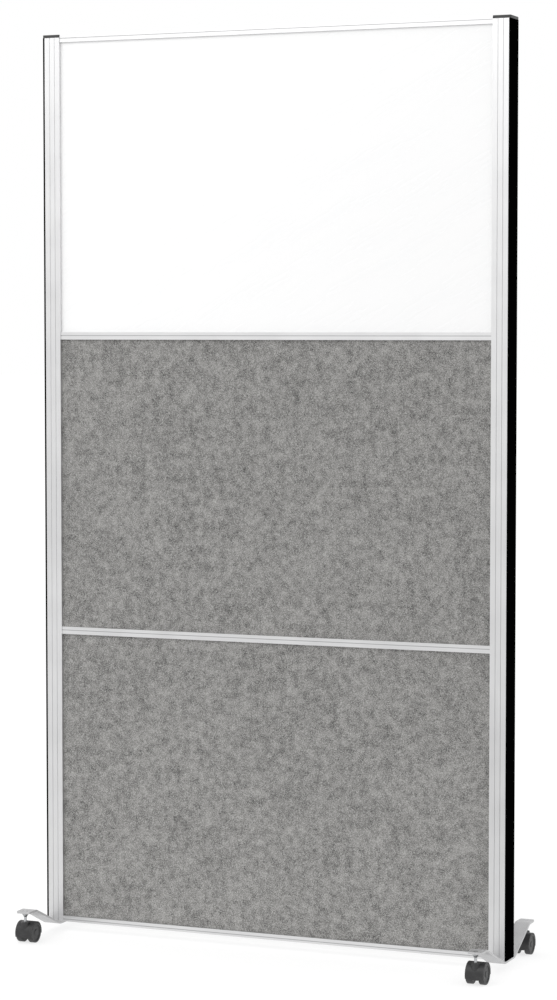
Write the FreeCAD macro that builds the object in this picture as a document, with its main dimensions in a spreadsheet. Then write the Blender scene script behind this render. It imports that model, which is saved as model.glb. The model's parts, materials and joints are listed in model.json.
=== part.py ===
import FreeCAD, Part
import os
import Sketcher

# A free-standing partition wall on castors.  Two extruded posts carry four rails, three panels fill the
# bays between the rails, and each post stands on a bent bar with a swivelling twin-wheel castor at each end.
# Frame: millimetres, +Z up, origin on the floor under the middle of the wall, front face towards -Y.

SIZES = (
    ("overall_width", 1000, "over both edge strips"),
    ("overall_height", 1842, "floor to the top of the caps"),
    ("strip_thickness", 4, "edge strip on the outer side of each post"),
    ("post_width", 33, "post, seen from the front"),
    ("post_depth", 47, "post, front to back"),
    ("post_base", 20.2, "height of the post's lower end"),
    ("post_wall", 2, "post front, back and inner wall"),
    ("post_outer_wall", 3, "post wall that takes the rail screw heads"),
    ("post_line_width", 0.9, "decorative line on the post, full width"),
    ("post_line_depth", 0.6, "decorative line on the post"),
    ("slot_width", 34.6, "panel slot in posts and rails"),
    ("post_slot_depth", 6, "panel slot in the post"),
    ("rail_slot_depth", 3.4, "panel slot in the rail"),
    ("port_radius", 6.5, "screw port inside the post"),
    ("port_offset", 16, "screw port from the middle of the post"),
    ("port_drop", 16, "screw ports end below the post's upper end"),
    ("cap_thickness", 6, "plate of the post cap"),
    ("cap_overhang", 36.8, "width of the post cap's plate"),
    ("cap_plug_depth", 15, "plug of the cap inside the post"),
    ("cap_plug_play", 0.2, "cap plug to the post's walls"),
    ("cap_plug_gap", 18.4, "gap between the two legs of the plug"),
    ("cap_round", 1.5, "rounded corners of the cap"),
    ("cap_rim_round", 1, "rounded upper rim of the cap"),
    ("strip_bevel", 0.5, "bevelled edges of the edge strip"),
    ("rail_depth", 43, "rail, front to back"),
    ("rail_height", 15, "rail, seen from the front"),
    ("rail_top", 1841.5, "height of the top rail's upper face"),
    ("upper_mid_top", 1238.4, "height of the upper middle rail's upper face"),
    ("lower_mid_top", 633.6, "height of the lower middle rail's upper face"),
    ("bottom_rail_top", 32, "height of the bottom rail's upper face"),
    ("rail_line_drop", 6.9, "decorative line below the rail's upper face"),
    ("rail_line_width", 1.0, "decorative line on the rail"),
    ("rail_line_depth", 0.8, "decorative line on the rail"),
    ("tongue_play", 0.3, "rail's tongue to the sides of the post's slot"),
    ("panel_inset", 2.9, "part of the panel hidden in each slot"),
    ("panel_thickness", 34, "complete panel"),
    ("felt_thickness", 9, "pressed felt board"),
    ("sheet_thickness", 1.2, "lacquered steel sheet of the whiteboard"),
    ("rail_screw_radius", 2, "M4 screw"),
    ("rail_screw_spread", 6, "rail screws from the middle of the post"),
    ("rail_screw_edge", 3.8, "top rail's screws below the post's upper end"),
    ("rail_screw_head", 3.5, "radius of the countersunk head"),
    ("rail_screw_sink", 2, "height of the countersunk head"),
    ("rail_screw_length", 50, "M4 screw, with its head"),
    ("foot_screw_radius", 3, "M6 screw"),
    ("foot_screw_head", 6, "radius of the countersunk head"),
    ("foot_screw_sink", 3, "height of the countersunk head"),
    ("foot_screw_length", 26, "M6 screw, with its head"),
    ("hole_clearance", 0.1, "hole radius over screw radius"),
    ("foot_centre", 482.4, "middle line of the foot from the middle of the wall"),
    ("foot_width", 35, "foot under the post"),
    ("foot_tip_width", 29, "foot at its ends"),
    ("foot_thickness", 4, "flat bar"),
    ("foot_flat", 31.6, "level stretch under the post, to each side"),
    ("foot_fold", 133, "upper bend of the arm, to each side"),
    ("foot_reach", 165, "end of the foot, to each side"),
    ("foot_tab_top", 65.6, "height of the tab's upper face"),
    ("foot_base_bend", 30, "inside radius of the bends beside the post"),
    ("foot_bend", 8, "inside radius of the bends beside the castors"),
    ("foot_corner", 4, "rounded corners of the tabs"),
    ("castor_spread", 481.4, "castor stem from the middle of the wall, across"),
    ("castor_reach", 155, "castor stem from the middle of the wall, front to back"),
    ("castor_trail", 13, "axle behind the stem"),
    ("axle_radius", 3, "steel axle"),
    ("axle_length", 32, "steel axle"),
    ("axle_clearance", 0.06, "running clearance of a wheel on the axle"),
    ("axle_fit", 0.03, "clearance of the axle in the hood"),
    ("wheel_radius", 20.5, "wheel, and height of the axle"),
    ("wheel_width", 11.4, "wheel"),
    ("wheel_gap", 14.4, "between the two wheels"),
    ("bore_end", 16.4, "end of the wheel's blind bore from the castor's middle"),
    ("hub_radius", 5.5, "hub on the wheel's outer face"),
    ("hub_recess", 0.4, "hub behind the wheel's outer plane"),
    ("dish_inner", 7, "radius where the wheel's dish begins"),
    ("dish_outer", 15.5, "radius where the wheel's dish ends"),
    ("dish_depth", 1.6, "dish behind the wheel's outer plane"),
    ("rim_inner", 16.5, "radius where the wheel's rim begins"),
    ("tread_outer_round", 1, "rounding of the tread's outer edge"),
    ("tread_inner_round", 0.8, "rounding of the tread's inner edge"),
    ("hood_radius", 22.8, "outside of the hood"),
    ("hood_shell", 1.7, "thickness of the hood"),
    ("hood_width", 36.8, "hood"),
    ("hood_skirt_angle", 200, "lower edge of the hood on the stem side"),
    ("hood_brow_angle", -12, "lower edge of the hood on the trailing side"),
    ("spine_width", 13.6, "web of the hood between the wheels"),
    ("spine_floor", 11, "height of the web's lower edge"),
    ("collar_radius", 8.5, "collar of the hood round the stem"),
    ("collar_top", 43.8, "height of the collar's upper face"),
    ("collar_base", 30, "height where the collar starts inside the hood"),
    ("collar_round", 1.2, "rounded upper rim of the collar"),
    ("socket_base", 27, "height of the floor of the pin's socket"),
    ("pin_radius", 3, "swivel pin of the stem"),
    ("pin_base", 28, "height of the pin's lower end"),
    ("pin_clearance", 0.06, "running clearance of the pin in the hood"),
    ("flange_radius", 6.7, "flange of the stem against the foot"),
    ("flange_height", 2, "straight part of the flange"),
    ("neck_top", 54, "height where the stem's cone ends"),
    ("thread_radius", 5, "M10 thread in the foot"),
    ("thread_chamfer", 0.6, "chamfer at the thread's end"),
)

doc = FreeCAD.newDocument("partition_wall")
sheet = doc.addObject("Spreadsheet::Sheet", "Sizes")
for row, (alias, size, note) in enumerate(SIZES, start=1):
    sheet.set(f"A{row}", alias)
    sheet.set(f"B{row}", str(size))
    sheet.set(f"C{row}", note)
    sheet.setAlias(f"B{row}", alias)
doc.recompute()

X_AXIS = FreeCAD.Vector(1, 0, 0)
Y_AXIS = FreeCAD.Vector(0, 1, 0)
Z_AXIS = FreeCAD.Vector(0, 0, 1)
FRONT_SIDE = 0
TURNED_ROUND = 180

pieces = []


def size(text):
    """An expression written with bare aliases, spelt out for the document."""
    words = []
    word = ""
    for letter in text + " ":
        if letter.isalnum() or letter in "._":
            word += letter
            continue
        words.append(f"Sizes.{word}" if word in ALIASES else word)
        words.append(letter)
        word = ""
    return "".join(words).strip()


def value(text):
    """The present value of an expression."""
    result = sheet.evalExpression(size(text))
    return float(getattr(result, "Value", result))


ALIASES = {alias for alias, number, note in SIZES}

POST_OUTER = "(overall_width / 2 - strip_thickness)"
POST_INNER = f"({POST_OUTER} - post_width)"
POST_TOP = "(overall_height - cap_thickness)"
CHAMBER_INNER = f"({POST_INNER} + post_slot_depth + post_wall)"
CHAMBER_OUTER = f"({POST_OUTER} - post_outer_wall)"
CHAMBER_MIDDLE = f"(({CHAMBER_INNER} + {CHAMBER_OUTER}) / 2)"
FOOT_BASE = "(post_base - foot_thickness)"
ARM_ANGLE = "atan((foot_tab_top - post_base) / (foot_fold - foot_flat))"
BEND_SHIFT = f"(foot_thickness * tan({ARM_ANGLE} / 2))"


def bind(item, path, text):
    item.setExpression(path, size(text))


def place(item, x="0", y="0", z="0", turn=FRONT_SIDE):
    """Puts a piece at a point given by expressions, turned about a vertical axis."""
    item.Placement = FreeCAD.Placement(FreeCAD.Vector(0, 0, 0), FreeCAD.Rotation(Z_AXIS, turn))
    for letter, text in (("x", x), ("y", y), ("z", z)):
        bind(item, f"Placement.Base.{letter}", text)


def new_body(label):
    body = doc.addObject("PartDesign::Body", label)
    body.Label = label
    pieces.append(body)
    return body


def new_sketch(body, name, role, offset="0"):
    """A sketch on one of the body's own origin planes, moved along the plane's normal."""
    sketch = body.newObject("Sketcher::SketchObject", name)
    plane = next(feature for feature in body.Origin.OriginFeatures if feature.Role == role)
    sketch.AttachmentSupport = [(plane, "")]
    sketch.MapMode = "FlatFace"
    bind(sketch, "AttachmentOffset.Base.z", offset)
    return sketch


def pin_distance(sketch, kind, edge, corner, text):
    number = sketch.addConstraint(Sketcher.Constraint(kind, -1, 1, edge, corner, value(text)))
    bind(sketch, f"Constraints[{number}]", text)


def pin_height(sketch, edge, corner, y):
    """Fixes how high a point of an edge lies in the sketch."""
    pin_distance(sketch, "DistanceY", edge, corner, y)


def pin_point(sketch, edge, corner, x, y):
    """Fixes a point of an edge at a place given by two expressions."""
    pin_distance(sketch, "DistanceX", edge, corner, x)
    pin_height(sketch, edge, corner, y)


def outline(sketch, corners):
    """A closed outline of straight edges through corners given as pairs of expressions."""
    points = [FreeCAD.Vector(value(x), value(y), 0) for x, y in corners]
    first = sketch.GeometryCount
    count = len(points)
    for index in range(count):
        edge = Part.LineSegment(points[index], points[(index + 1) % count])
        sketch.addGeometry(edge, False)
    for index in range(count):
        following = first + (index + 1) % count
        sketch.addConstraint(Sketcher.Constraint("Coincident", first + index, 2, following, 1))
    for index, (x, y) in enumerate(corners):
        pin_point(sketch, first + index, 1, x, y)


def rectangle(sketch, low_x, high_x, low_y, high_y):
    outline(sketch, ((low_x, low_y), (high_x, low_y), (high_x, high_y), (low_x, high_y)))


def ring(sketch, x, y, radius):
    """A full circle whose centre and radius are expressions."""
    centre = FreeCAD.Vector(value(x), value(y), 0)
    edge = sketch.addGeometry(Part.Circle(centre, Z_AXIS, value(radius)), False)
    pin_point(sketch, edge, 3, x, y)
    number = sketch.addConstraint(Sketcher.Constraint("Radius", edge, value(radius)))
    bind(sketch, f"Constraints[{number}]", radius)


def pad(body, sketch, length, both_ways=False):
    feature = body.newObject("PartDesign::Pad", f"{sketch.Name}_pad")
    feature.Profile = sketch
    feature.SideType = "Symmetric" if both_ways else "One side"
    bind(feature, "Length", length)
    doc.recompute()
    return feature


def pocket(body, sketch, length, both_ways=False):
    """Cuts a sketch out of the body, along the sketch's normal, and checks that it did."""
    before = body.Shape.Volume
    feature = body.newObject("PartDesign::Pocket", f"{sketch.Name}_pocket")
    feature.Profile = sketch
    feature.SideType = "Symmetric" if both_ways else "One side"
    feature.Reversed = not both_ways
    bind(feature, "Length", length)
    doc.recompute()
    if feature.Shape.Volume >= before:
        raise RuntimeError(f"{feature.Name} removed nothing")
    return feature


def revolve(body, sketch, axis):
    feature = body.newObject("PartDesign::Revolution", f"{sketch.Name}_turned")
    feature.Profile = sketch
    feature.ReferenceAxis = (sketch, [axis])
    feature.Angle = 360
    doc.recompute()
    return feature


def edges_where(feature, test):
    """Names of the feature's edges whose middle point passes a test."""
    names = []
    for number, edge in enumerate(feature.Shape.Edges, start=1):
        middle = edge.valueAt((edge.FirstParameter + edge.LastParameter) / 2)
        if test(edge, middle):
            names.append(f"Edge{number}")
    return names


def round_edges(body, feature, radius, test):
    fillet = body.newObject("PartDesign::Fillet", f"{feature.Name}_round")
    fillet.Base = (feature, edges_where(feature, test))
    bind(fillet, "Radius", radius)
    doc.recompute()
    return fillet


def bevel_edges(body, feature, width, test):
    chamfer = body.newObject("PartDesign::Chamfer", f"{feature.Name}_bevel")
    chamfer.Base = (feature, edges_where(feature, test))
    bind(chamfer, "Size", width)
    doc.recompute()
    return chamfer


def near(measure, text, slack=0.01):
    return abs(measure - value(text)) < slack


def runs_along(edge, direction):
    """True for a straight edge parallel to a direction."""
    start = edge.valueAt(edge.FirstParameter)
    end = edge.valueAt(edge.LastParameter)
    span = end.sub(start)
    return span.Length > 0 and abs(abs(span.dot(direction)) - span.Length) < 1e-6


def add_post(side, turn):
    """A hollow extrusion with a panel slot on its inner side and two fine lines on its front and back."""
    body = new_body(f"post_{side}")
    half = "post_depth / 2"
    section = new_sketch(body, f"post_{side}_section", "XY_Plane", "post_base")
    lines = [f"({POST_INNER} + post_width * {third} / 3)" for third in (1, 2)]
    corners = [(POST_INNER, f"-{half}")]
    for line in lines:
        corners.append((f"{line} - post_line_width / 2", f"-{half}"))
        corners.append((line, f"-{half} + post_line_depth"))
        corners.append((f"{line} + post_line_width / 2", f"-{half}"))
    corners.append((POST_OUTER, f"-{half}"))
    corners.append((POST_OUTER, half))
    for line in reversed(lines):
        corners.append((f"{line} + post_line_width / 2", half))
        corners.append((line, f"{half} - post_line_depth"))
        corners.append((f"{line} - post_line_width / 2", half))
    corners.append((POST_INNER, half))
    corners.append((POST_INNER, "slot_width / 2"))
    corners.append((f"{POST_INNER} + post_slot_depth", "slot_width / 2"))
    corners.append((f"{POST_INNER} + post_slot_depth", "-slot_width / 2"))
    corners.append((POST_INNER, "-slot_width / 2"))
    outline(section, corners)
    pad(body, section, f"{POST_TOP} - post_base")

    chamber = new_sketch(body, f"post_{side}_chamber", "XY_Plane", "post_base")
    depth = "(post_depth / 2 - post_wall)"
    rectangle(chamber, CHAMBER_INNER, CHAMBER_OUTER, f"-{depth}", depth)
    pocket(body, chamber, f"{POST_TOP} - post_base")

    ports = new_sketch(body, f"post_{side}_ports", "XY_Plane", "post_base")
    for sign in ("-", ""):
        ring(ports, CHAMBER_MIDDLE, f"{sign}port_offset", "port_radius")
        ring(ports, CHAMBER_MIDDLE, f"{sign}port_offset", "foot_screw_radius + hole_clearance")
    pad(body, ports, f"{POST_TOP} - post_base - port_drop")

    holes = new_sketch(body, f"post_{side}_screw_holes", "YZ_Plane")
    for level in rail_screw_levels():
        for sign in ("-", ""):
            ring(holes, f"{sign}rail_screw_spread", level, "rail_screw_radius + hole_clearance")
    pocket(body, holes, "overall_width / 2")

    sinks = new_sketch(body, f"post_{side}_screw_sinks", "YZ_Plane", f"{POST_OUTER} - rail_screw_sink")
    for level in rail_screw_levels():
        for sign in ("-", ""):
            ring(sinks, f"{sign}rail_screw_spread", level, "rail_screw_head + hole_clearance")
    pocket(body, sinks, "rail_screw_sink")
    place(body, turn=turn)


def rail_bounds():
    """Each rail's label, upper face, lower face, and whether it has a slot above and below."""
    return (
        ("top_rail", "rail_top", "(rail_top - rail_height)", False, True),
        ("upper_mid_rail", "upper_mid_top", "(upper_mid_top - rail_height)", True, True),
        ("lower_mid_rail", "lower_mid_top", "(lower_mid_top - rail_height)", True, True),
        ("bottom_rail", "bottom_rail_top", "post_base", True, False),
    )


def web_bounds(top, bottom, slot_above, slot_below):
    """Upper and lower face of the web between a rail's slots."""
    web_top = f"({top} - rail_slot_depth)" if slot_above else top
    web_bottom = f"({bottom} + rail_slot_depth)" if slot_below else bottom
    return web_bottom, web_top


def rail_screw_levels():
    levels = []
    for label, top, bottom, slot_above, slot_below in rail_bounds():
        web_bottom, web_top = web_bounds(top, bottom, slot_above, slot_below)
        levels.append(f"min(({web_bottom} + {web_top}) / 2; {POST_TOP} - rail_screw_edge)")
    return levels


def add_rail(label, top, bottom, slot_above, slot_below, level):
    """An extrusion along X with panel slots, a fine line on both faces, and a tongue at each end."""
    body = new_body(label)
    half = "rail_depth / 2"
    slot = "slot_width / 2"
    line_top = f"({top} - rail_line_drop + rail_line_width / 2)"
    line_bottom = f"({top} - rail_line_drop - rail_line_width / 2)"
    web_bottom, web_top = web_bounds(top, bottom, slot_above, slot_below)
    corners = [(f"-{half}", top)]
    if slot_above:
        corners += [(f"-{slot}", top), (f"-{slot}", web_top), (slot, web_top), (slot, top)]
    corners += [(half, top), (half, line_top), (f"{half} - rail_line_depth", line_top)]
    corners += [(f"{half} - rail_line_depth", line_bottom), (half, line_bottom), (half, bottom)]
    if slot_below:
        corners += [(slot, bottom), (slot, web_bottom), (f"-{slot}", web_bottom), (f"-{slot}", bottom)]
    corners += [(f"-{half}", bottom), (f"-{half}", line_bottom)]
    corners += [(f"-{half} + rail_line_depth", line_bottom), (f"-{half} + rail_line_depth", line_top)]
    corners += [(f"-{half}", line_top)]
    section = new_sketch(body, f"{label}_section", "YZ_Plane")
    outline(section, corners)
    pad(body, section, f"{POST_INNER} * 2", both_ways=True)

    tongue = new_sketch(body, f"{label}_tongue", "YZ_Plane")
    width = "(slot_width / 2 - tongue_play)"
    rectangle(tongue, f"-{width}", width, web_bottom, f"min({web_top}; {POST_TOP}) - tongue_play")
    pad(body, tongue, f"({POST_INNER} + post_slot_depth) * 2", both_ways=True)

    ports = new_sketch(body, f"{label}_ports", "YZ_Plane")
    for sign in ("-", ""):
        ring(ports, f"{sign}rail_screw_spread", level, "rail_screw_radius + hole_clearance")
    pocket(body, ports, "overall_width", both_ways=True)


def add_board(label, low_y, thickness, bay_top, bay_bottom):
    """A flat board whose edges stand in the slots of posts and rails."""
    board = doc.addObject("Part::Box", label)
    board.Label = label
    half_width = f"({POST_INNER} + panel_inset)"
    bind(board, "Length", f"2 * {half_width}")
    bind(board, "Width", thickness)
    bind(board, "Height", f"{bay_top} - {bay_bottom} + 2 * panel_inset")
    place(board, f"-{half_width}", low_y, f"{bay_bottom} - panel_inset")
    pieces.append(board)


def add_panel(names, skin, bay_top, bay_bottom):
    """Front skin, core and back skin of one panel."""
    half = "panel_thickness / 2"
    front, core, back = names
    add_board(front, f"-{half}", skin, bay_top, bay_bottom)
    add_board(core, f"-{half} + {skin}", f"panel_thickness - 2 * {skin}", bay_top, bay_bottom)
    add_board(back, f"{half} - {skin}", skin, bay_top, bay_bottom)


def add_cap(side, turn):
    """A plastic cap over post and strip, with a plug inside the post."""
    body = new_body(f"post_cap_{side}")
    plate = new_sketch(body, f"post_cap_{side}_plate", "XY_Plane", POST_TOP)
    half = "post_depth / 2"
    rectangle(plate, POST_INNER, f"{POST_INNER} + cap_overhang", f"-{half}", half)
    lid = pad(body, plate, "cap_thickness")
    corners = round_edges(body, lid, "cap_round", lambda edge, middle: runs_along(edge, Z_AXIS))
    rim = round_edges(body, corners, "cap_rim_round", lambda edge, middle: near(middle.z, "overall_height"))
    body.Tip = rim

    plug = new_sketch(body, f"post_cap_{side}_plug", "XY_Plane", f"{POST_TOP} - cap_plug_depth")
    depth = "(post_depth / 2 - post_wall - cap_plug_play)"
    low_x = f"{CHAMBER_INNER} + cap_plug_play"
    high_x = f"{CHAMBER_OUTER} - cap_plug_play"
    rectangle(plug, low_x, high_x, f"-{depth}", "-cap_plug_gap / 2")
    rectangle(plug, low_x, high_x, "cap_plug_gap / 2", depth)
    pad(body, plug, "cap_plug_depth")
    hollow = new_sketch(body, f"post_cap_{side}_hollow", "XY_Plane", f"{POST_TOP} - cap_plug_depth")
    depth = "(post_depth / 2 - post_wall * 2)"
    rectangle(hollow, f"{CHAMBER_INNER} + post_wall", f"{CHAMBER_OUTER} - post_wall", f"-{depth}", depth)
    pocket(body, hollow, "cap_plug_depth")
    place(body, turn=turn)


def add_strip(side, turn):
    """The black connecting strip on the outer side of a post."""
    body = new_body(f"edge_strip_{side}")
    section = new_sketch(body, f"edge_strip_{side}_section", "XY_Plane", "post_base")
    rectangle(section, POST_OUTER, "overall_width / 2", "-post_depth / 2", "post_depth / 2")
    strip = pad(body, section, f"{POST_TOP} - post_base")
    bevel_edges(body, strip, "strip_bevel",
                lambda edge, middle: runs_along(edge, Z_AXIS) and near(middle.x, "overall_width / 2"))
    place(body, turn=turn)


def add_foot(side, turn):
    """A flat bar bent up on both sides of the post, level again over the castors."""
    body = new_body(f"foot_{side}")
    section = new_sketch(body, f"foot_{side}_section", "YZ_Plane", "foot_centre - foot_width / 2")
    top = (("foot_flat", "post_base"), ("foot_fold", "foot_tab_top"), ("foot_reach", "foot_tab_top"))
    under = (("foot_reach", "foot_tab_top - foot_thickness"),
             (f"foot_fold + {BEND_SHIFT}", "foot_tab_top - foot_thickness"),
             (f"foot_flat + {BEND_SHIFT}", FOOT_BASE))
    half = top + under
    mirrored = tuple((f"-({y})", z) for y, z in reversed(half))
    outline(section, half + mirrored)
    bar = pad(body, section, "foot_width")

    def at_bend(y, z):
        return lambda edge, middle: (runs_along(edge, X_AXIS) and near(abs(middle.y), y)
                                     and near(middle.z, z))

    bends = (("foot_base_bend", "foot_flat", "post_base"),
             ("foot_bend", f"foot_fold + {BEND_SHIFT}", "foot_tab_top - foot_thickness"),
             ("foot_bend + foot_thickness", "foot_fold", "foot_tab_top"),
             ("foot_base_bend + foot_thickness", f"foot_flat + {BEND_SHIFT}", FOOT_BASE))
    for radius, y, z in bends:
        bar = round_edges(body, bar, radius, at_bend(y, z))

    plan = new_sketch(body, f"foot_{side}_plan", "XY_Plane")
    wide = "foot_width / 2"
    slim = "foot_tip_width / 2"
    steps = ((slim, "-foot_reach"), (wide, "-foot_flat"), (wide, "foot_flat"), (slim, "foot_reach"))
    outer = [(f"foot_centre + {half}", y) for half, y in steps]
    inner = [(f"foot_centre - {half}", y) for half, y in reversed(steps)]
    outline(plan, outer + inner)
    rectangle(plan, "foot_centre - foot_width", "foot_centre + foot_width",
              "-foot_reach - foot_width", "foot_reach + foot_width")
    tapered = pocket(body, plan, "foot_reach * 2", both_ways=True)
    rounded = round_edges(body, tapered, "foot_corner",
                          lambda edge, middle: runs_along(edge, Z_AXIS) and near(abs(middle.y), "foot_reach"))
    body.Tip = rounded

    holes = new_sketch(body, f"foot_{side}_holes", "XY_Plane")
    for sign in ("-", ""):
        ring(holes, "castor_spread", f"{sign}castor_reach", "thread_radius + hole_clearance")
        ring(holes, CHAMBER_MIDDLE, f"{sign}port_offset", "foot_screw_radius + hole_clearance")
    pocket(body, holes, "foot_reach * 2", both_ways=True)
    sinks = new_sketch(body, f"foot_{side}_sinks", "XY_Plane", FOOT_BASE)
    for sign in ("-", ""):
        ring(sinks, CHAMBER_MIDDLE, f"{sign}port_offset", "foot_screw_head + hole_clearance")
    pocket(body, sinks, "foot_screw_sink")
    place(body, turn=turn)


def add_screws(label, radius, head, sink, length, spots, direction, turn):
    """A group of countersunk screws; each spot is the middle of a head's outer face."""
    made = []
    for number, (x, y, z) in enumerate(spots, start=1):
        shank = doc.addObject("Part::Cylinder", f"{label}_shank_{number}")
        bind(shank, "Radius", radius)
        bind(shank, "Height", length)
        cone = doc.addObject("Part::Cone", f"{label}_head_{number}")
        bind(cone, "Radius1", head)
        bind(cone, "Radius2", radius)
        bind(cone, "Height", sink)
        for item in (shank, cone):
            item.Placement = FreeCAD.Placement(FreeCAD.Vector(0, 0, 0), FreeCAD.Rotation(Z_AXIS, direction))
            for letter, text in (("x", x), ("y", y), ("z", z)):
                bind(item, f"Placement.Base.{letter}", text)
        screw = doc.addObject("Part::Fuse", f"{label}_{number}")
        screw.Base = shank
        screw.Tool = cone
        made.append(screw)
    group = doc.addObject("Part::Compound", label)
    group.Label = label
    group.Links = made
    place(group, turn=turn)
    pieces.append(group)


def add_rail_screws(side, turn):
    spots = [(POST_OUTER, f"{sign}rail_screw_spread", level)
             for level in rail_screw_levels() for sign in ("-", "")]
    add_screws(f"rail_screws_{side}", "rail_screw_radius", "rail_screw_head", "rail_screw_sink",
               "rail_screw_length", spots, FreeCAD.Vector(-1, 0, 0), turn)


def add_foot_screws(side, turn):
    spots = [(CHAMBER_MIDDLE, f"{sign}port_offset", FOOT_BASE) for sign in ("-", "")]
    add_screws(f"foot_screws_{side}", "foot_screw_radius", "foot_screw_head", "foot_screw_sink",
               "foot_screw_length", spots, Z_AXIS, turn)


def add_stem(label, x, y):
    """A turned steel stem: thread, flange, cone and swivel pin, about the stem's own axis."""
    body = new_body(label)
    profile = new_sketch(body, f"{label}_profile", "XZ_Plane")
    tab_under = "(foot_tab_top - foot_thickness)"
    outline(profile, (
        ("0", "pin_base"), ("pin_radius", "pin_base"), ("pin_radius", "neck_top"),
        ("flange_radius", f"{tab_under} - flange_height"), ("flange_radius", tab_under),
        ("thread_radius", tab_under), ("thread_radius", "foot_tab_top - thread_chamfer"),
        ("thread_radius - thread_chamfer", "foot_tab_top"), ("0", "foot_tab_top")))
    revolve(body, profile, "V_Axis")
    place(body, x, y)


def add_hood(label, x, y, turn):
    """The plastic body of a castor: an arched shell over both wheels, a web between them, a collar on top."""
    body = new_body(label)
    arch = new_sketch(body, f"{label}_arch", "YZ_Plane")
    centre = FreeCAD.Vector(value("castor_trail"), value("wheel_radius"), 0)
    start = "hood_brow_angle"
    end = "hood_skirt_angle"
    edges = []
    for radius in ("hood_radius", "(hood_radius - hood_shell)"):
        circle = Part.Circle(centre, Z_AXIS, value(radius))
        angles = (value(f"{start} * pi / 180"), value(f"{end} * pi / 180"))
        edges.append(arch.addGeometry(Part.ArcOfCircle(circle, *angles), False))
        pin_point(arch, edges[-1], 3, "castor_trail", "wheel_radius")
        pin_point(arch, edges[-1], 1, f"castor_trail + {radius} * cos({start} * 1 deg)",
                  f"wheel_radius + {radius} * sin({start} * 1 deg)")
        pin_height(arch, edges[-1], 2, f"wheel_radius + {radius} * sin({end} * 1 deg)")
    outer, inner = edges
    for corner in (1, 2):
        ends = [arch.getPoint(edge, corner) for edge in (outer, inner)]
        side = arch.addGeometry(Part.LineSegment(*ends), False)
        arch.addConstraint(Sketcher.Constraint("Coincident", outer, corner, side, 1))
        arch.addConstraint(Sketcher.Constraint("Coincident", inner, corner, side, 2))
    pad(body, arch, "hood_width", both_ways=True)

    collar = new_sketch(body, f"{label}_collar", "XY_Plane", "collar_base")
    ring(collar, "0", "0", "collar_radius")
    crown = pad(body, collar, "collar_top - collar_base")
    rounded = round_edges(body, crown, "collar_round", lambda edge, middle: near(middle.z, "collar_top"))
    body.Tip = rounded
    wells = new_sketch(body, f"{label}_wells", "YZ_Plane")
    ring(wells, "castor_trail", "wheel_radius", "hood_radius - hood_shell")
    pocket(body, wells, "hood_width", both_ways=True)

    spine = new_sketch(body, f"{label}_spine", "YZ_Plane")
    ring(spine, "castor_trail", "wheel_radius", "hood_radius - hood_shell / 2")
    pad(body, spine, "spine_width", both_ways=True)
    trim = new_sketch(body, f"{label}_trim", "YZ_Plane")
    reach = "hood_radius"
    rectangle(trim, f"castor_trail - {reach}", f"castor_trail + {reach}", f"-{reach}", "spine_floor")
    pocket(body, trim, "hood_width", both_ways=True)

    socket = new_sketch(body, f"{label}_socket", "XY_Plane", "socket_base")
    ring(socket, "0", "0", "pin_radius + pin_clearance")
    pocket(body, socket, "collar_top")
    bore = new_sketch(body, f"{label}_bore", "YZ_Plane")
    ring(bore, "castor_trail", "wheel_radius", "axle_radius + axle_fit")
    pocket(body, bore, "hood_width", both_ways=True)
    place(body, x, y, turn=turn)


def add_axle(label, x, y):
    """The steel axle across a castor."""
    axle = doc.addObject("Part::Cylinder", label)
    axle.Label = label
    bind(axle, "Radius", "axle_radius")
    bind(axle, "Height", "axle_length")
    axle.Placement = FreeCAD.Placement(FreeCAD.Vector(0, 0, 0), FreeCAD.Rotation(Z_AXIS, X_AXIS))
    for letter, text in (("x", f"{x} - axle_length / 2"), ("y", y), ("z", "wheel_radius")):
        bind(axle, f"Placement.Base.{letter}", text)
    pieces.append(axle)


def add_wheel(label, x, y, turn):
    """One wheel about the X axis: rounded tread, dished face with a raised rim and hub, blind bore."""
    body = new_body(label)
    profile = new_sketch(body, f"{label}_profile", "XY_Plane")
    inner = "(wheel_gap / 2)"
    outer = f"({inner} + wheel_width)"
    bore = "(axle_radius + axle_clearance)"
    outline(profile, (
        ("bore_end", "0"), (f"{outer} - hub_recess", "0"), (f"{outer} - hub_recess", "hub_radius"),
        (f"{outer} - dish_depth", "dish_inner"), (f"{outer} - dish_depth", "dish_outer"),
        (outer, "rim_inner"), (outer, "wheel_radius"), (inner, "wheel_radius"), (inner, bore),
        ("bore_end", bore)))
    disc = revolve(body, profile, "H_Axis")

    def at_tread(x):
        return lambda edge, middle: (near(middle.x, x)
                                     and near((middle.y ** 2 + middle.z ** 2) ** 0.5, "wheel_radius"))

    shouldered = round_edges(body, disc, "tread_outer_round", at_tread(outer))
    round_edges(body, shouldered, "tread_inner_round", at_tread(inner))
    place(body, x, y, "wheel_radius", turn)


def add_castor(name, sign_x, sign_y, turn):
    """One twin-wheel castor; its axle trails towards the wall."""
    stem_x = f"({sign_x}castor_spread)"
    stem_y = f"({sign_y}castor_reach)"
    axle_y = f"({sign_y}(castor_reach - castor_trail))"
    add_stem(f"{name}_castor_stem", stem_x, stem_y)
    add_hood(f"{name}_castor_hood", stem_x, stem_y, turn)
    add_axle(f"{name}_castor_axle", stem_x, axle_y)
    add_wheel(f"{name}_castor_wheel_left", stem_x, axle_y, TURNED_ROUND)
    add_wheel(f"{name}_castor_wheel_right", stem_x, axle_y, FRONT_SIDE)


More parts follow.
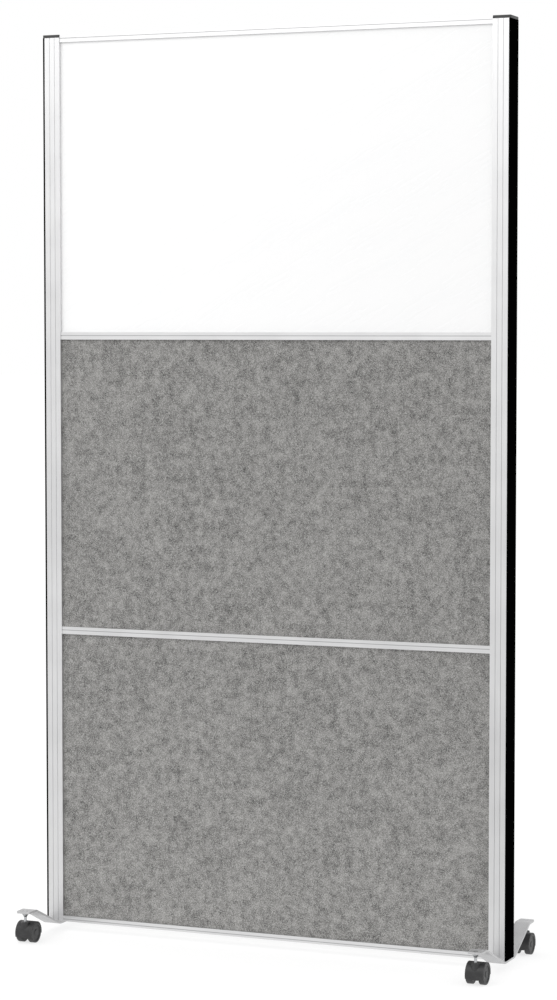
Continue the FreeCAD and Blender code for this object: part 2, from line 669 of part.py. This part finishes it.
SIDES = (("right", FRONT_SIDE), ("left", TURNED_ROUND))
CASTORS = (
    ("front_left", "-", "-", FRONT_SIDE),
    ("front_right", "", "-", FRONT_SIDE),
    ("back_left", "-", "", TURNED_ROUND),
    ("back_right", "", "", TURNED_ROUND),
)
PANELS = (
    (("whiteboard_front_sheet", "whiteboard_core", "whiteboard_back_sheet"), "sheet_thickness",
     "(rail_top - rail_height)", "upper_mid_top"),
    (("middle_felt_front", "middle_absorber_core", "middle_felt_back"), "felt_thickness",
     "(upper_mid_top - rail_height)", "lower_mid_top"),
    (("lower_felt_front", "lower_absorber_core", "lower_felt_back"), "felt_thickness",
     "(lower_mid_top - rail_height)", "bottom_rail_top"),
)

for side_name, side_turn in SIDES:
    add_post(side_name, side_turn)
    add_cap(side_name, side_turn)
    add_strip(side_name, side_turn)
    add_foot(side_name, side_turn)
    add_rail_screws(side_name, side_turn)
    add_foot_screws(side_name, side_turn)
for bounds, screw_level in zip(rail_bounds(), rail_screw_levels()):
    add_rail(*bounds, screw_level)
for panel in PANELS:
    add_panel(*panel)
for castor in CASTORS:
    add_castor(*castor)
doc.recompute()

for item in doc.Objects:
    if "Invalid" in item.State or "Error" in item.State:
        raise RuntimeError(f"{item.Label} failed: {item.State}")
for piece in pieces:
    if piece.Shape.isNull() or not piece.Shape.isValid():
        raise RuntimeError(f"{piece.Label} has no valid shape")

os.makedirs("parts", exist_ok=True)
for piece in pieces:
    piece.Shape.exportStep(f"parts/{piece.Label}.step")
    print(piece.Label, round(piece.Shape.Volume), len(piece.Shape.Solids))
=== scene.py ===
import bpy
import json
import math
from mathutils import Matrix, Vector

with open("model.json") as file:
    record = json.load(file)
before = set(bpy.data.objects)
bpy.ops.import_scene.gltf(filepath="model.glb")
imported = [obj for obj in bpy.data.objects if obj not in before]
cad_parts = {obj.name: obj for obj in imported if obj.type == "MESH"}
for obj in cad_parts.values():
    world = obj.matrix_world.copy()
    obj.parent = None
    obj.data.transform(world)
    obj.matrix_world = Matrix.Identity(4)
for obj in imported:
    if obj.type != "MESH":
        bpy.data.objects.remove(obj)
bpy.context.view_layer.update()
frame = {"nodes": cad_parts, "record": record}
nodes = frame["nodes"]

# All lengths are in metres and all angles in radians.

# Colour sockets of the Mix node, which share their names with its number sockets.
MIX_A, MIX_B, MIX_RESULT = 6, 7, 2

# Fine grooves in the extrusions: their middle lines, half their width and how much painted shade
# darkens them.
POST_GROOVES = (0.474, 0.485)
RAIL_GROOVES = (1.8346, 1.2315, 0.6267, 0.0251)
GROOVE_HALF = 0.0007
POST_GROOVE_PAINTED_SHADE = 0.22
RAIL_GROOVE_PAINTED_SHADE = 0.5

# Painted shade: the extrusions' colour is darker near the floor, and this fades out with height.
PAINTED_LOW_SHADE_AMOUNT = 0.12
PAINTED_LOW_SHADE_FULL_BELOW = 0.1
PAINTED_LOW_SHADE_NONE_ABOVE = 0.7

# The felt's fibres lie in this many directions, evenly turned.
FIBRE_DIRECTIONS = 4

# Bevels on the CAD nodes.
FOOT_EDGE = 0.0006
EXTRUSION_EDGE = 0.00025
SHARP_EDGE = math.radians(50)

CAMERA_PLACE = (2.18269, -5.19030, 1.24694)
CAMERA_TURN = 0.39631
CAMERA_DIP = 0.06081
CAMERA_LENS_MM = 101.70
CAMERA_SENSOR_MM = 36.0

KEY_PLACE = (-1.2, -2.8, 3.4)
KEY_TARGET = (0.0, 0.0, 1.0)
KEY_WIDTH = 2.6
KEY_HEIGHT = 1.8
KEY_WATTS = 36.0

# The floor glows white to the camera. To everything else it is darker in front of the wall.
# The two distances run the way the camera faces, so that negative ones are on its side.
FLOOR_REACH = 60.0
FLOOR_WHITE = 0.74
FLOOR_DARK = 0.30
FLOOR_DARK_BEFORE = -1.05
FLOOR_WHITE_AFTER = -0.5


class Shader:
    """A material's node tree, built one node at a time."""

    def __init__(self, name):
        self.material = bpy.data.materials.new(name)
        self.material.use_nodes = True
        self.tree = self.material.node_tree
        self.tree.nodes.clear()
        output = self.node("ShaderNodeOutputMaterial")
        self.surface = self.node("ShaderNodeBsdfPrincipled")
        self.tree.links.new(self.surface.outputs["BSDF"], output.inputs["Surface"])
        self.place = self.node("ShaderNodeTexCoord").outputs["Object"]

    def node(self, kind, **settings):
        made = self.tree.nodes.new(kind)
        for key, value in settings.items():
            setattr(made, key, value)
        return made

    def set(self, target, key, value):
        """Sets a socket to a number or colour, or links another socket to it."""
        if isinstance(value, bpy.types.NodeSocket):
            self.tree.links.new(value, target.inputs[key])
        else:
            target.inputs[key].default_value = value

    def look(self, **values):
        """Sets sockets of the surface, whose names are written with _ for each space."""
        for key, value in values.items():
            self.set(self.surface, key.replace("_", " "), value)

    def mapped(self, scale, turn=(0, 0, 0), shift=(0, 0, 0)):
        """The piece's own coordinates, turned and shifted first and stretched afterwards."""
        turned = self.node("ShaderNodeMapping", vector_type="POINT")
        self.set(turned, "Vector", self.place)
        self.set(turned, "Rotation", turn)
        self.set(turned, "Location", shift)
        stretched = self.node("ShaderNodeVectorMath", operation="MULTIPLY")
        self.set(stretched, 0, turned.outputs["Vector"])
        self.set(stretched, 1, scale)
        return stretched.outputs["Vector"]

    def even(self, scale):
        """The piece's own coordinates, stretched alike in all directions."""
        return self.mapped((scale, scale, scale))

    def noise(self, vector, detail=2.0, roughness=0.5):
        made = self.node("ShaderNodeTexNoise")
        self.set(made, "Vector", vector)
        self.set(made, "Scale", 1.0)
        self.set(made, "Detail", detail)
        self.set(made, "Roughness", roughness)
        return made.outputs["Fac"]

    def cells(self, vector):
        """The distance to the nearest of many scattered points."""
        made = self.node("ShaderNodeTexVoronoi", feature="F1")
        self.set(made, "Vector", vector)
        self.set(made, "Scale", 1.0)
        return made.outputs["Distance"]

    def spread(self, value, low_in, high_in, low=0.0, high=1.0):
        """Maps a range onto another, clamped, with smooth ends."""
        made = self.node("ShaderNodeMapRange", interpolation_type="SMOOTHSTEP")
        self.set(made, "Value", value)
        self.set(made, "From Min", low_in)
        self.set(made, "From Max", high_in)
        self.set(made, "To Min", low)
        self.set(made, "To Max", high)
        return made.outputs["Result"]

    def math(self, operation, first, second=0.0):
        made = self.node("ShaderNodeMath", operation=operation)
        self.set(made, 0, first)
        self.set(made, 1, second)
        return made.outputs["Value"]

    def share(self, value, part):
        """A value times a fixed number."""
        return self.math("MULTIPLY", value, part)

    def plus(self, first, second, part):
        """One value plus a share of another."""
        return self.math("ADD", first, self.share(second, part))

    def mix(self, factor, first, second):
        """Blends two colours, each a socket or three numbers."""
        made = self.node("ShaderNodeMix", data_type="RGBA")
        self.set(made, "Factor", factor)
        for key, colour in ((MIX_A, first), (MIX_B, second)):
            if not isinstance(colour, bpy.types.NodeSocket):
                colour = (*colour, 1.0)
            self.set(made, key, colour)
        return made.outputs[MIX_RESULT]

    def along(self, axis):
        """One of the piece's own coordinates."""
        parted = self.node("ShaderNodeSeparateXYZ")
        self.set(parted, "Vector", self.place)
        return parted.outputs[axis]

    def bands(self, axis, centres, half_width, either_side):
        """1 inside narrow bands across one axis, 0 elsewhere."""
        place = self.along(axis)
        if either_side:
            place = self.math("ABSOLUTE", place)
        inside = 0.0
        for centre in centres:
            off = self.math("ABSOLUTE", self.math("SUBTRACT", place, centre))
            band = self.spread(off, half_width * 0.6, half_width * 1.4, 1.0, 0.0)
            inside = self.math("MAXIMUM", inside, band)
        return inside

    def relief(self, height, distance, strength):
        """Raises the surface by a height field."""
        made = self.node("ShaderNodeBump")
        self.set(made, "Height", height)
        self.set(made, "Distance", distance)
        self.set(made, "Strength", strength)
        self.set(self.surface, "Normal", made.outputs["Normal"])


def anodised(name, along, across, grooves, either_side, groove_shade_share):
    """Satin silver anodised extrusion with drawing lines along one axis.

    Painted shade darkens it in its grooves and near the floor.
    """
    shader = Shader(name)
    scale = [2600.0, 2600.0, 2600.0]
    scale["XYZ".index(along)] = 9.0
    lines = shader.noise(shader.mapped(scale), 3.0, 0.6)
    grain = shader.noise(shader.even(5200.0), 1.0)
    cloud = shader.noise(shader.even(14.0), 3.0)
    tone = shader.spread(shader.plus(shader.share(lines, 0.6), cloud, 0.4), 0.3, 0.7)
    metal = shader.mix(tone, (0.77, 0.77, 0.775), (0.83, 0.83, 0.833))
    # Painted shade: the colour darkens towards the floor.
    painted_low_shade = shader.spread(shader.along("Z"), PAINTED_LOW_SHADE_FULL_BELOW, PAINTED_LOW_SHADE_NONE_ABOVE,
                           PAINTED_LOW_SHADE_AMOUNT, 0.0)
    metal = shader.mix(painted_low_shade, metal, (0.0, 0.0, 0.0))
    # Painted shade in the grooves: their colour is mixed towards dark grey.
    painted_groove_shade = shader.share(shader.bands(across, grooves, GROOVE_HALF, either_side), groove_shade_share)
    shader.look(
        Base_Color=shader.mix(painted_groove_shade, metal, (0.2, 0.2, 0.205)),
        Metallic=1.0,
        Roughness=shader.spread(shader.plus(lines, cloud, 0.5), 0.5, 1.0, 0.36, 0.46),
    )
    shader.relief(shader.plus(lines, grain, 0.5), 0.00002, 0.5)
    return shader.material


def powder_coat(name):
    """Silver powder coat with fine metal flakes and a slight orange peel."""
    shader = Shader(name)
    peel = shader.noise(shader.even(900.0))
    flakes = shader.cells(shader.even(3600.0))
    dust = shader.noise(shader.mapped((35.0, 35.0, 60.0)), 4.0)
    sparkle = shader.spread(flakes, 0.1, 0.6)
    shader.look(
        Base_Color=shader.mix(sparkle, (0.62, 0.62, 0.625), (0.48, 0.48, 0.485)),
        Metallic=0.55,
        Roughness=shader.spread(dust, 0.35, 0.7, 0.42, 0.55),
    )
    shader.relief(shader.plus(peel, flakes, 0.3), 0.00004, 0.6)
    return shader.material


def black_strip(name):
    """Deep black matt connecting strip with faint lengthways ribs."""
    shader = Shader(name)
    lines = shader.noise(shader.mapped((900.0, 900.0, 5.0)), 3.0)
    grain = shader.noise(shader.even(4000.0), 1.0)
    shader.look(
        Base_Color=shader.mix(lines, (0.0004, 0.0004, 0.0004), (0.0012, 0.0012, 0.0012)),
        Roughness=shader.spread(grain, 0.3, 0.7, 0.55, 0.75),
        Specular_IOR_Level=0.0,
        IOR=1.02,
    )
    shader.relief(shader.math("ADD", lines, grain), 0.00003, 0.5)
    return shader.material


def moulded(name, dark, light, roughness, wear=0.0):
    """Grained plastic moulding, a little paler where it is rubbed."""
    shader = Shader(name)
    leather = shader.cells(shader.even(1900.0))
    grain = shader.noise(shader.even(5000.0), 1.0)
    cloud = shader.noise(shader.even(90.0), 4.0)
    rubbed = shader.spread(cloud, 0.45, 0.75, 0.0, wear)
    shader.look(
        Base_Color=shader.mix(shader.plus(rubbed, grain, 0.7), dark, light),
        Roughness=shader.spread(cloud, 0.3, 0.7, roughness - 0.06, roughness + 0.06),
        Specular_IOR_Level=0.4,
    )
    shader.relief(shader.plus(leather, grain, 0.4), 0.00004, 0.5)
    return shader.material


def whiteboard(name):
    """Glossy white lacquer with a faint orange peel and hardly visible wipe marks."""
    shader = Shader(name)
    peel = shader.noise(shader.even(420.0))
    wipes = shader.noise(shader.mapped((5.0, 5.0, 38.0), (0.0, 0.5, 0.0)), 5.0, 0.6)
    wiped = shader.spread(wipes, 0.35, 0.75)
    shader.look(
        Base_Color=shader.mix(wiped, (0.96, 0.96, 0.96), (0.945, 0.947, 0.95)),
        Roughness=shader.spread(wipes, 0.3, 0.7, 0.22, 0.3),
        Specular_IOR_Level=0.4,
        Coat_Weight=0.5,
        Coat_Roughness=0.08,
    )
    shader.relief(peel, 0.00002, 0.25)
    return shader.material


def fibres(shader, seed, low, high):
    """Short hairs lying in several directions: 1 on a hair, 0 beside it."""
    hairs = 0.0
    for step in range(FIBRE_DIRECTIONS):
        turn = (0.0, 0.35 + step * math.pi / FIBRE_DIRECTIONS + seed * 0.4, 0.0)
        shift = (0.37 * step + seed, 0.2 * seed, 0.71 * step)
        hair = shader.noise(shader.mapped((1400.0, 1400.0, 230.0), turn, shift), 1.5)
        hairs = shader.math("MAXIMUM", hairs, shader.spread(hair, low, high))
    return hairs


def felt(name):
    """Pressed felt: light and dark fibres over a mottled grey ground."""
    shader = Shader(name)
    cloud = shader.noise(shader.even(62.0))
    broad = shader.noise(shader.even(24.0))
    tufts = shader.noise(shader.even(520.0), 3.0, 0.7)
    fuzz = shader.noise(shader.even(2400.0))
    light_hair = fibres(shader, 0, 0.54, 0.76)
    dark_hair = fibres(shader, 1, 0.55, 0.77)
    ground = shader.plus(shader.share(tufts, 0.56), cloud, 0.3)
    ground = shader.plus(ground, broad, 0.14)
    ground = shader.plus(ground, shader.math("SUBTRACT", fuzz, 0.5), 0.3)
    ground = shader.spread(ground, 0.385, 0.625)
    colour = shader.mix(ground, (0.054, 0.053, 0.051), (0.335, 0.329, 0.318))
    colour = shader.mix(shader.share(dark_hair, 0.55), colour, (0.11, 0.108, 0.105))
    colour = shader.mix(shader.share(light_hair, 0.7), colour, (0.66, 0.655, 0.64))
    shader.look(
        Base_Color=colour,
        Roughness=0.95,
        Specular_IOR_Level=0.15,
        Sheen_Weight=0.05,
        Sheen_Roughness=0.6,
    )
    raised = shader.plus(shader.share(tufts, 0.8), light_hair, 0.5)
    shader.relief(shader.plus(raised, fuzz, 0.4), 0.0004, 0.5)
    return shader.material


def board(name, dark, light, scale, roughness):
    """Granular filling material of a panel."""
    shader = Shader(name)
    grain = shader.noise(shader.even(scale), 4.0, 0.7)
    shader.look(Base_Color=shader.mix(grain, dark, light), Roughness=roughness)
    shader.relief(grain, 0.0003, 0.6)
    return shader.material


def zinc(name):
    """Zinc-plated steel with fine turning marks."""
    shader = Shader(name)
    rings = shader.noise(shader.mapped((300.0, 300.0, 4200.0)))
    bloom = shader.noise(shader.even(260.0), 4.0)
    dulled = shader.spread(bloom, 0.35, 0.7)
    shader.look(
        Base_Color=shader.mix(dulled, (0.52, 0.53, 0.54), (0.40, 0.405, 0.41)),
        Metallic=1.0,
        Roughness=shader.spread(bloom, 0.3, 0.7, 0.24, 0.38),
    )
    shader.relief(rings, 0.00002, 0.5)
    return shader.material


def floor_paper(name):
    """White paper that glows evenly to the camera and is mirrored darker in front of the wall."""
    shader = Shader(name)
    ahead = shader.node("ShaderNodeVectorMath", operation="DOT_PRODUCT")
    shader.set(ahead, 0, shader.place)
    shader.set(ahead, 1, (-math.sin(CAMERA_TURN), math.cos(CAMERA_TURN), 0.0))
    paper = shader.noise(shader.even(160.0), 3.0)
    mirrored = shader.spread(ahead.outputs["Value"], FLOOR_DARK_BEFORE, FLOOR_WHITE_AFTER,
                             FLOOR_DARK, FLOOR_WHITE)
    seen = shader.node("ShaderNodeLightPath").outputs["Is Camera Ray"]
    shader.look(
        Base_Color=shader.mix(paper, (0.30, 0.30, 0.30), (0.32, 0.32, 0.32)),
        Roughness=0.9,
        Specular_IOR_Level=0.0,
        Emission_Color=(1.0, 1.0, 1.0, 1.0),
        Emission_Strength=shader.math("MAXIMUM", mirrored, shader.share(seen, FLOOR_WHITE)),
    )
    return shader.material


def soften(piece, width):
    """A small bevel on the sharp edges of a CAD node."""
    bevel = piece.modifiers.new("soft_edges", "BEVEL")
    bevel.width = width
    bevel.segments = 2
    bevel.limit_method = "ANGLE"
    bevel.angle_limit = SHARP_EDGE
    bevel.harden_normals = False
    bevel.use_clamp_overlap = True


upright = anodised("anodised_upright", "Z", "X", POST_GROOVES, True, POST_GROOVE_PAINTED_SHADE)
level = anodised("anodised_level", "X", "Z", RAIL_GROOVES, False, RAIL_GROOVE_PAINTED_SHADE)
LOOKS = {
    "foot_metal": powder_coat("powder_coat"),
    "strip_black": black_strip("black_strip"),
    "cap_grey": moulded("cap_moulding", (0.03, 0.03, 0.03), (0.085, 0.085, 0.085), 0.5),
    "whiteboard": whiteboard("whiteboard_lacquer"),
    "felt": felt("pressed_felt"),
    "core": board("filling_board", (0.60, 0.58, 0.53), (0.82, 0.80, 0.75), 900.0, 0.9),
    "absorber": board("absorber_foam", (0.34, 0.32, 0.24), (0.66, 0.63, 0.52), 700.0, 0.95),
    "zinc": zinc("zinc_plate"),
    "castor_plastic": moulded("castor_hood_moulding", (0.012, 0.012, 0.0125),
                              (0.05, 0.05, 0.051), 0.42, 0.3),
    "castor_wheel": moulded("castor_wheel_moulding", (0.014, 0.014, 0.0145),
                            (0.055, 0.055, 0.056), 0.48, 0.4),
}

for part in frame["record"]["subparts"]:
    name = part["node"]
    slot = part["material_slot"]
    if slot == "anodised":
        look = upright if name.startswith("post") else level
    else:
        look = LOOKS[slot]
    materials = nodes[name].data.materials
    materials.clear()
    materials.append(look)

for name, piece in nodes.items():
    if name in ("foot_left", "foot_right"):
        soften(piece, FOOT_EDGE)
    elif name.endswith("_rail") or name in ("post_left", "post_right"):
        soften(piece, EXTRUSION_EDGE)

floor_mesh = bpy.data.meshes.new("floor")
corners = [(-FLOOR_REACH, -FLOOR_REACH, 0), (FLOOR_REACH, -FLOOR_REACH, 0),
           (FLOOR_REACH, FLOOR_REACH, 0), (-FLOOR_REACH, FLOOR_REACH, 0)]
floor_mesh.from_pydata(corners, [], [(0, 1, 2, 3)])
floor_mesh.materials.append(floor_paper("floor_paper"))
floor = bpy.data.objects.new("floor", floor_mesh)
bpy.context.scene.collection.objects.link(floor)

world = bpy.data.worlds.new("studio")
world.use_nodes = True
background = world.node_tree.nodes["Background"]
background.inputs["Color"].default_value = (1.0, 1.0, 1.0, 1.0)
background.inputs["Strength"].default_value = 1.0
bpy.context.scene.world = world

key_data = bpy.data.lights.new("key", "AREA")
key_data.shape = "RECTANGLE"
key_data.size = KEY_WIDTH
key_data.size_y = KEY_HEIGHT
key_data.energy = KEY_WATTS
key = bpy.data.objects.new("key", key_data)
key.location = KEY_PLACE
key.rotation_euler = (Vector(KEY_TARGET) - key.location).to_track_quat("-Z", "Y").to_euler()
bpy.context.scene.collection.objects.link(key)

camera_data = bpy.data.cameras.new("camera")
camera_data.lens = CAMERA_LENS_MM
camera_data.sensor_width = CAMERA_SENSOR_MM
camera = bpy.data.objects.new("camera", camera_data)
camera.location = CAMERA_PLACE
camera.rotation_euler = (math.pi / 2 - CAMERA_DIP, 0.0, CAMERA_TURN)
bpy.context.scene.collection.objects.link(camera)
bpy.context.scene.camera = camera

bpy.context.scene.view_settings.view_transform = "Standard"
bpy.context.scene.view_settings.look = "None"
